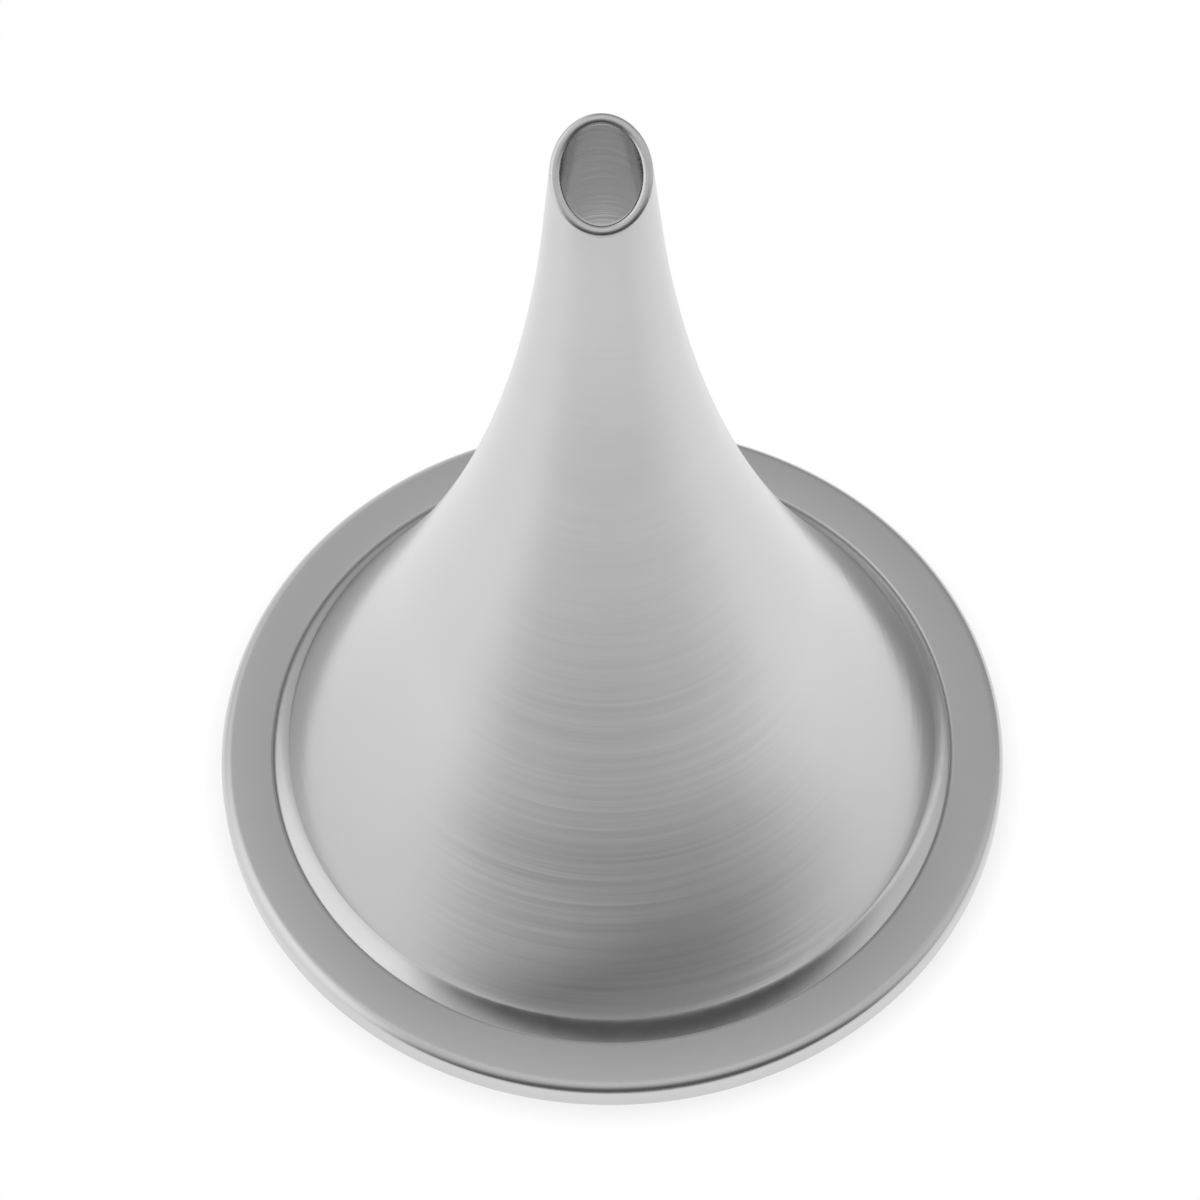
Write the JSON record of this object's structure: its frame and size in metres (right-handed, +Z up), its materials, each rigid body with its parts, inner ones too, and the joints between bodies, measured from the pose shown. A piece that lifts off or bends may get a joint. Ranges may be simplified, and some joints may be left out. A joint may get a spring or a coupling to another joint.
{
  "type": "ear speculum",
  "caption": "Trumpet-shaped steel ear speculum: a spun funnel with a slanting beaded mouth at its narrow end, brazed into a rounded rim ring that it stands on.",
  "frame": {"origin": "centre of the underside of the rim ring, on the funnel's axis, in the plane that the part stands on", "axes": "+Z up the funnel's axis from the rim to the mouth; the low side of the slanting mouth faces -Y; X goes across"},
  "size_m": [0.03, 0.03, 0.0362],
  "materials": {
    "satin_steel": "satin, spun and turned lines round the axis",
    "turned_steel": "fine turned",
    "braze": "satin, dressed and polished over",
    "polished_steel": "polished"
  },
  "bodies": {
    "root": {"funnel": "satin_steel", "rim_ring": "turned_steel", "rim_braze": "braze", "mouth_bead": "polished_steel"}
  },
  "joints": []
}
